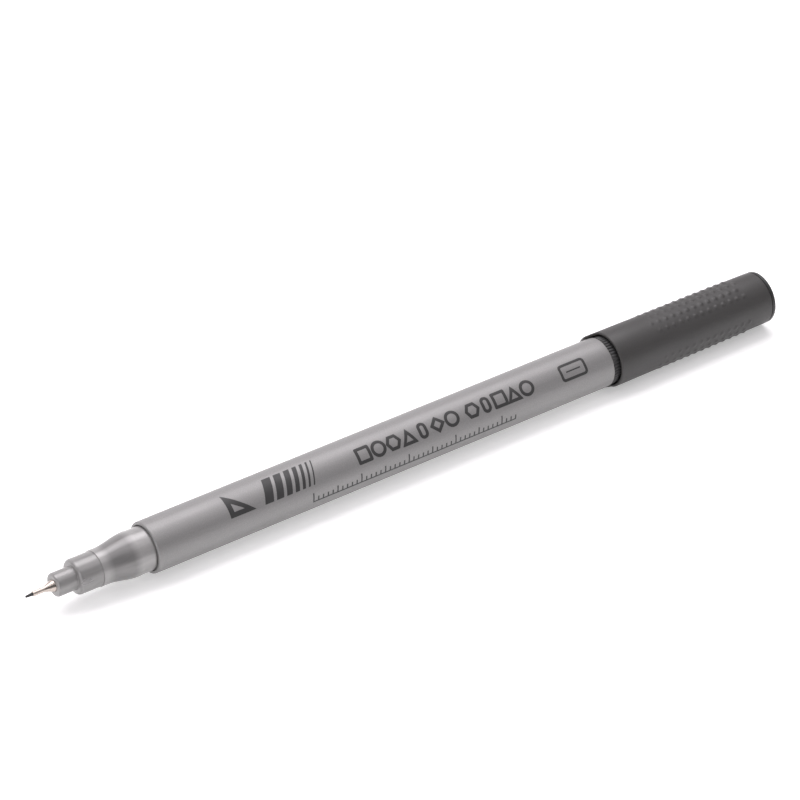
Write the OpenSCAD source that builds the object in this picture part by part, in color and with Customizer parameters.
// Disposable fibre-tip technical pen with its cap posted on the tail.
// Built along its own axis, nib point at station 0, then laid on its side with +X towards the tail.

/* [Barrel] */
// Outside diameter of the barrel
barrel_d = 9.2; // [8.8:0.1:9.2]
// Wall thickness of the barrel
barrel_wall = 0.55; // [0.5:0.05:0.6]
// Station of the barrel's front rim, measured from the nib point
barrel_start = 23.2; // [23:0.1:23.4]
// Length of the barrel
barrel_len = 96.3; // [80:0.1:110]

/* [Nib] */
// Length of nib that stands out of the metal sleeve
nib_exposed = 1.35; // [0.9:0.05:1.6]
// Diameter of the nib inside the sleeve
nib_d = 0.60; // [0.5:0.02:0.6]
// Diameter of the nib at its writing point
nib_point_d = 0.36; // [0.1:0.02:0.4]
// Diameter of the metal guide tube
tube_d = 0.92; // [0.88:0.02:1]
// Station where the guide tube widens into its cone
cone_start = 3.55; // [3.2:0.05:3.8]
// Diameter of the feed wick
wick_d = 2.5; // [2:0.1:2.5]

/* [Nose] */
// Station of the nib holder's front face
holder_start = 5.3; // [5.1:0.05:5.5]
// Diameter of the holder's front step
holder_small_d = 4.16; // [4:0.02:4.4]
// Station of the shoulder between the two steps
holder_shoulder = 9.0; // [8.6:0.05:9.2]
// Diameter of the holder's rear step, which the cap seals on
holder_large_d = 6.22; // [6:0.02:6.22]
// Station of the parting line between holder and front section
parting = 13.35; // [13:0.05:13.6]
// Largest diameter of the front section
front_d = 7.96; // [7.8:0.02:8]

/* [Cap] */
// Length of the cap shell
cap_len = 35.06; // [34:0.02:36]
// Outside diameter of the cap at its mouth
cap_mouth_d = 10.3; // [10.2:0.05:10.5]
// Outside diameter of the cap at its closed end
cap_end_d = 9.7; // [9.6:0.05:9.8]
// Width of the flat lip round the cap's mouth
cap_lip_w = 0.46; // [0.4:0.02:0.5]
// How much further forward the mouth reaches on the clip's side
hood_len = 2.2; // [0.4:0.1:3]
// Grip bump rows in each of the two patches
bump_rows = 7; // [5:1:7]
// Grip bumps in each row
bump_count = 13; // [8:1:13]
// Distance between bumps along the cap
bump_pitch = 1.63; // [1.5:0.01:1.66]

/* [Tail] */
// Ribs round the exposed collar of the tail plug
collar_ribs = 46; // [36:2:60]
// Length of the tail that carries the posted cap
tail_len = 5.1; // [4:0.1:6]

/* [Clip] */
// Width of the pocket clip
clip_w = 4.4; // [3.6:0.1:4.6]
// Distance from the pen's axis to the clip's outer face
clip_reach = 8.1; // [7.8:0.05:8.4]
// Turn of the clip from straight down, towards +Y
clip_roll = 67.5; // [60:0.5:75]

/* [Hidden] */
$fn = 96;

fit = 0.01;                 // radial gap where one piece is pressed into another
slide_fit = 0.04;           // radial gap where the cap slides
cut = 1;                    // how far a cutter runs past a face

// Barrel and what fills it
barrel_r = barrel_d / 2;
bore_r = barrel_r - barrel_wall;
barrel_end = barrel_start + barrel_len;
rim_round = 0.4;            // rounding of the barrel's front rim
draw_in = 0.05;             // how far the barrel's rear end is drawn in onto the tail plug
draw_in_len = 1.2;
end_bevel = 0.12;           // bevel of the barrel's rear edge
reservoir_r = 3.42;
film_t = 0.08;              // thickness of the reservoir's film wrap
film_r = reservoir_r + fit + film_t;
film_room_r = film_r + 0.03;
reservoir_start = 24.25;
insert_start = barrel_end - 7.5;    // front end of the tail plug inside the barrel
reservoir_end = insert_start + 3;

// Nib, sleeve and wick
nib_r = nib_d / 2;
nib_point_r = nib_point_d / 2;
nib_end = 9.5;
tube_r = tube_d / 2;
cone_r = 1.05;              // radius of the cone where it leaves the holder
sleeve_shoulder = holder_start + 0.6;
sleeve_funnel = sleeve_shoulder - 0.2;  // where the sleeve's inside starts to widen towards the wick
shank_r = 1.45;
shank_end = 9.2;
wick_r = wick_d / 2;
wick_start = 7.0;
wick_seat = wick_start - 0.05;          // front end of the sleeve's seat for the wick
wick_end = 27;
nib_socket = nib_end + 0.1; // bottom of the wick's socket for the nib

// Nose
small_r = holder_small_d / 2;
large_r = holder_large_d / 2;
small_round = 0.4;          // rounding of the holder's front edge
large_round = 0.55;         // rounding of the holder's shoulder
spigot_r = 2.35;            // holder's spigot inside the front section
spigot_end = 15.1;
spigot_room = spigot_end + 0.1;
front_r = front_d / 2;
waist_r = 3.22;             // front section's radius behind the parting line
flare_start = 14.5;
flare_end = 20.3;
flare_steps = 14;
band_start = 20.6;          // fine step behind the flare
band_step = 0.05;
band_r = front_r - band_step;
neck_start = barrel_start - 0.12;   // fine groove in front of the barrel's rim
neck_r = 3.87;
neck_end = barrel_start + 0.5;  // the neck widens from here into the barrel's bore
insert_at = barrel_start + 0.9;
chamber_r = 2.6;            // hollow round the wick, seen through the nose
chamber_end = 20.8;
seat_r = 3.56;              // pocket that holds the reservoir's front end
seat_start = 24.2;
front_end = 33;

// Tail plug
collar_r = 4.44;
collar_len = 1.9;
collar_end = barrel_end + collar_len;
collar_rib_r = 0.11;        // depth of the grooves between the collar's ribs
collar_round = 0.15;
tail_r = 4.1;
tail_end = collar_end + tail_len;
tail_round = 0.7;           // rounding of the tail's end
plug_hollow_r = 3.35;
plug_hollow_end = tail_end - 1.2;

// Cap
cap_start = barrel_end + 1.3;       // station of the posted cap's mouth
cap_end = cap_start + cap_len;
cap_mouth_r = cap_mouth_d / 2;
cap_end_r = cap_end_d / 2;
hood_start = cap_start - hood_len;
hood_ramp = 1.76;                   // the mouth's step to the hood starts at the axis and ends this far off it
hood_steps = 8;
mouth_bore_r = cap_mouth_r - cap_lip_w;
mouth_bore_end = cap_start + 0.5;   // the bore narrows from here to its full fit
cap_bore_start = cap_start + 1.2;
cap_bore_r = 4.42;
grip_rib_start = collar_end + 0.05; // ribs in the bore that grip the tail
grip_rib_len = 7.5;
grip_ribs = 8;
grip_rib_w = 0.7;
grip_rib_r = tail_r + slide_fit;
grip_rib_root = 0.3;                // how far a rib reaches into the cap's wall
liner_ledge = cap_end - 9.6;        // ledge in the shell that the liner's flange rests on
liner_ledge_len = 1.4;
liner_ledge_slope = 0.5;
liner_ledge_r = 4.02;
plug_r = 4.3;
plug_start = liner_ledge + 1.0;
plug_hollow = 3.0;                  // radius of the end plug's hollow
plug_depth = 7;
flange_gap = 0.14;                  // thin groove between shell and end plug
flange_r = 4.82;
flange_len = 0.88;
pen_end = cap_end + flange_len;
flange_edge = 0.06;                 // rounding of the flange's front edge
flange_round = 0.3;

// Grip bumps: none stands out further than the mouth, which the pen rests on
bump_r = 0.75;
bump_h = 0.15;                      // how far a bump stands out of the wall
bump_first = 9.27;                  // first bump, measured from the mouth
bump_turn = 20;                     // angle between neighbouring rows
bump_patch_turn = 90;               // each patch is centred this far round from the clip

// Liner
liner_r = 3.8;
liner_start = cap_start + 9.6;
liner_bore_r = large_r + slide_fit;
liner_seal_len = 3.8;
liner_seal_slope = 0.3;
liner_seal_h = 0.12;                // height of the seal band inside the liner
liner_inner_r = liner_bore_r + liner_seal_h;
liner_floor = cap_start + 25.4;
liner_flange_r = plug_r - fit;

// Clip
notch_clear = 0.25;                 // room round the tongue for the clip to flex
clip_t = 1.1;
clip_len = 30;
clip_slope = 0.7;                   // how much nearer the clip's free end comes to the axis
clip_tip_reach = clip_reach - clip_slope;
clip_tongue_t = 1.1;
clip_tongue_r = 3.35;               // how near the tongue comes to the axis
clip_root = cap_end + flange_gap - notch_clear;  // rear face of the tongue
clip_bead_r = 1.1;
clip_bead_gap = 0.12;
clip_bead_from_tip = 2.6;
clip_corner = 1.0;

// Place of the finished pen: the cap rests on the ground, and the clip keeps it from rolling
clip_drop = clip_reach * cos(clip_roll) + clip_w / 2 * sin(clip_roll);
axis_z = max(cap_mouth_r, clip_drop);
clip_side = clip_reach * sin(clip_roll) + clip_w / 2 * cos(clip_roll);
mid_y = (clip_side - cap_mouth_r) / 2;

// Puts a shape that is built along Z, from station 0, into the pen's frame: its +X turns to face down
module laid() {
    translate([-pen_end / 2, -mid_y, axis_z]) rotate([0, 90, 0]) children();
}

// Solid of revolution from [radius, station] points
module turned(points) {
    rotate_extrude() polygon(points);
}

// Ring or disc between two stations, with optional rounding of its outer edges
module ring(r, r_in, from, to, round_a = 0, round_b = 0) {
    rotate_extrude() difference() {
        union() {
            translate([r_in, from + round_a]) square([r - r_in, to - from - round_a - round_b]);
            if (round_a > 0) {
                translate([r_in, from]) square([r - r_in - round_a, round_a]);
                translate([r - round_a, from + round_a]) circle(round_a);
            }
            if (round_b > 0) {
                translate([r_in, to - round_b]) square([r - r_in - round_b, round_b]);
                translate([r - round_b, to - round_b]) circle(round_b);
            }
        }
        if (r_in > 0) translate([r_in - cut, from - cut]) square([cut, to - from + 2 * cut]);
    }
}

// Smooth step from 0 to 1, flat at both ends
function ease(t) = t * t * (3 - 2 * t);

function cap_outer_r(station) =
    cap_mouth_r + (cap_end_r - cap_mouth_r) * (station - cap_start) / cap_len;

module barrel() {
    end_r = barrel_r - draw_in;
    color("#a5a4a7") laid() difference() {
        ring(barrel_r, bore_r, barrel_start, barrel_end, rim_round);
        turned([[barrel_r + cut, barrel_end - draw_in_len], [barrel_r, barrel_end - draw_in_len],
                [end_r, barrel_end - end_bevel], [end_r - end_bevel, barrel_end],
                [end_r - end_bevel, barrel_end + cut], [barrel_r + cut, barrel_end + cut]]);
    }
}

module front_section() {
    flare = [for (i = [0 : flare_steps])
        let (t = i / flare_steps)
        [waist_r + (front_r - waist_r) * ease(t), flare_start + (flare_end - flare_start) * t]];
    color("#8f8e90") laid() turned(concat(
        [[spigot_r + fit, parting], [waist_r, parting]],
        flare,
        [[front_r, band_start], [band_r, band_start], [band_r, neck_start], [neck_r, neck_start],
         [neck_r, neck_end], [bore_r - fit, insert_at], [bore_r - fit, front_end],
         [seat_r, front_end], [seat_r, seat_start], [wick_r + fit, seat_start],
         [wick_r + fit, chamber_end], [chamber_r, chamber_end], [chamber_r, spigot_room],
         [spigot_r + fit, spigot_room]]));
}

module nib_holder() {
    color("#8f8e90") laid() difference() {
        union() {
            ring(small_r, 0, holder_start, holder_shoulder + cut, small_round);
            ring(large_r, 0, holder_shoulder, parting, large_round);
            ring(spigot_r, 0, parting - cut, spigot_end);
        }
        turned([[0, holder_start - cut], [cone_r + 2 * fit, holder_start - cut],
                [cone_r + 2 * fit, sleeve_shoulder], [shank_r + fit, sleeve_shoulder],
                [shank_r + fit, spigot_end + cut], [0, spigot_end + cut]]);
    }
}

module tip_sleeve() {
    color("#d8c8bc") laid() turned([
        [nib_r + fit, nib_exposed], [tube_r, nib_exposed], [tube_r, cone_start], [cone_r, holder_start],
        [cone_r, sleeve_shoulder], [shank_r, sleeve_shoulder], [shank_r, shank_end],
        [wick_r + fit, shank_end], [wick_r + fit, wick_seat],
        [nib_r + fit, sleeve_funnel]]);
}

module nib() {
    color("#3c3b3d") laid() turned([
        [0, 0], [nib_point_r, 0], [nib_r, nib_exposed], [nib_r, nib_end], [0, nib_end]]);
}

module feed_wick() {
    color("#2c2b2d") laid() turned([
        [nib_r + fit, wick_start], [wick_r, wick_start], [wick_r, wick_end], [0, wick_end],
        [0, nib_socket], [nib_r + fit, nib_socket]]);
}

module ink_reservoir() {
    color("#3a3a40") laid() turned([
        [wick_r + fit, reservoir_start], [reservoir_r, reservoir_start], [reservoir_r, reservoir_end],
        [0, reservoir_end], [0, wick_end + fit], [wick_r + fit, wick_end + fit]]);
}

module reservoir_film() {
    color("#d9dde2") laid() ring(film_r, reservoir_r + fit, reservoir_start, reservoir_end);
}

module tail_plug() {
    rib_turn = 360 / collar_ribs;
    color("#3b3a3c") laid() difference() {
        union() {
            ring(bore_r - fit, 0, insert_start, barrel_end + cut);
            difference() {
                ring(collar_r, 0, barrel_end, collar_end, collar_round, collar_round);
                for (i = [0 : collar_ribs - 1])
                    rotate([0, 0, i * rib_turn])
                        translate([collar_r, 0, barrel_end - cut])
                            cylinder(r = collar_rib_r, h = collar_len + 2 * cut, $fn = 16);
            }
            ring(tail_r, 0, collar_end - cut, tail_end, 0, tail_round);
        }
        turned([[0, insert_start - cut], [film_room_r, insert_start - cut],
                [film_room_r, reservoir_end + fit], [plug_hollow_r, reservoir_end + fit],
                [plug_hollow_r, plug_hollow_end], [0, plug_hollow_end]]);
    }
}

module cap_bumps() {
    for (patch = [-1, 1], row = [0 : bump_rows - 1], i = [0 : bump_count - 1]) {
        turn = patch * bump_patch_turn + (row - (bump_rows - 1) / 2) * bump_turn;
        station = cap_start + bump_first + (i + (row + 1) % 2 / 2) * bump_pitch;
        top_r = min(cap_outer_r(station) + bump_h, cap_mouth_r);
        rotate([0, 0, turn]) translate([top_r - bump_r, 0, station]) sphere(bump_r, $fn = 24);
    }
}

// Slot for the clip's tongue, from a radius outwards and up to a station
module tongue_slot(from_r, top) {
    floor = clip_root - clip_tongue_t - notch_clear;
    translate([from_r, -clip_w / 2 - notch_clear, floor])
        cube([clip_reach, clip_w + 2 * notch_clear, top - floor]);
}

// What is cut off the mouth on the side away from the clip, which leaves a hood on the clip's side
module mouth_cut() {
    step = [for (i = [0 : hood_steps])
        let (t = i / hood_steps)
        [hood_ramp * t, cap_start - hood_len * ease(t)]];
    rotate([90, 0, 0]) linear_extrude(4 * cap_mouth_r, center = true) polygon(concat(
        [[-2 * cap_mouth_r, hood_start - cut], [-2 * cap_mouth_r, cap_start]],
        step,
        [[hood_ramp, hood_start - cut]]));
}

module cap_shell() {
    ledge_start = liner_ledge - liner_ledge_len;
    color("#565558") laid() rotate([0, 0, clip_roll]) difference() {
        union() {
            difference() {
                union() {
                    turned([[0, hood_start], [cap_mouth_r, hood_start], [cap_mouth_r, cap_start],
                            [cap_end_r, cap_end], [0, cap_end]]);
                    cap_bumps();
                }
                turned([[0, hood_start - cut], [mouth_bore_r, hood_start - cut],
                        [mouth_bore_r, mouth_bore_end], [cap_bore_r, cap_bore_start],
                        [cap_bore_r, ledge_start], [liner_ledge_r, ledge_start + liner_ledge_slope],
                        [liner_ledge_r, liner_ledge], [plug_r, liner_ledge], [plug_r, cap_end + cut],
                        [0, cap_end + cut]]);
                mouth_cut();
            }
            for (i = [0 : grip_ribs - 1])
                rotate([0, 0, (i + 0.5) * 360 / grip_ribs])
                    translate([grip_rib_r, -grip_rib_w / 2, grip_rib_start])
                        cube([cap_bore_r - grip_rib_r + grip_rib_root, grip_rib_w, grip_rib_len]);
        }
        tongue_slot(plug_r - cut, cap_end + cut);
    }
}

module cap_liner() {
    liner_seal_end = liner_start + liner_seal_len;
    color("#8a898b") laid() turned([
        [liner_bore_r, liner_start], [liner_r, liner_start], [liner_r, liner_ledge + fit],
        [liner_flange_r, liner_ledge + fit], [liner_flange_r, plug_start - fit],
        [0, plug_start - fit], [0, liner_floor], [liner_inner_r, liner_floor],
        [liner_inner_r, liner_seal_end], [liner_bore_r, liner_seal_end - liner_seal_slope]]);
}

module cap_end_plug() {
    color("#434245") laid() rotate([0, 0, clip_roll]) difference() {
        union() {
            ring(plug_r - fit, 0, plug_start, (cap_end + pen_end) / 2);
            ring(flange_r, 0, cap_end + flange_gap, pen_end, flange_edge, flange_round);
        }
        translate([0, 0, plug_start - cut]) cylinder(r = plug_hollow, h = plug_depth + cut);
        tongue_slot(clip_tongue_r - notch_clear, cap_end + flange_gap);
    }
}

// Prism across the clip's width: the outline's x is the distance from the pen's axis, y the station
module slab() {
    rotate([90, 0, 0]) translate([0, 0, -clip_w / 2]) linear_extrude(clip_w) children();
}

module clip_sides() {
    tip = clip_root - clip_len + clip_t / 2;
    bend = clip_root - clip_corner;
    bead = clip_root - clip_len + clip_bead_from_tip;
    bead_reach = cap_outer_r(bead) + clip_bead_gap + clip_bead_r;
    slab() translate([clip_tongue_r, clip_root - clip_tongue_t])
        square([clip_reach - clip_corner - clip_tongue_r, clip_tongue_t]);
    slab() polygon([[clip_reach, bend], [clip_tip_reach, tip], [clip_tip_reach - clip_t, tip],
                    [clip_reach - clip_t, bend]]);
    slab() translate([clip_tip_reach - clip_t / 2, tip]) circle(clip_t / 2);
    slab() translate([bead_reach, bead]) circle(clip_bead_r);
    intersection() {
        slab() translate([clip_reach - clip_corner, bend]) circle(clip_corner);
        slab() translate([clip_reach - clip_corner, bend]) square(clip_corner);
    }
}

// The clip seen from outside: straight sides and a round free end
module clip_plan() {
    round_at = clip_root - clip_len + clip_w / 2;
    translate([0, -clip_w / 2, round_at]) cube([2 * clip_reach, clip_w, clip_len]);
    translate([0, 0, round_at]) rotate([0, 90, 0]) cylinder(d = clip_w, h = 2 * clip_reach);
}

module pocket_clip() {
    color("#4b4a4d") laid() rotate([0, 0, clip_roll]) intersection() {
        union() clip_sides();
        union() clip_plan();
    }
}

barrel();
front_section();
nib_holder();
tip_sleeve();
nib();
feed_wick();
ink_reservoir();
reservoir_film();
tail_plug();
cap_shell();
cap_liner();
cap_end_plug();
pocket_clip();
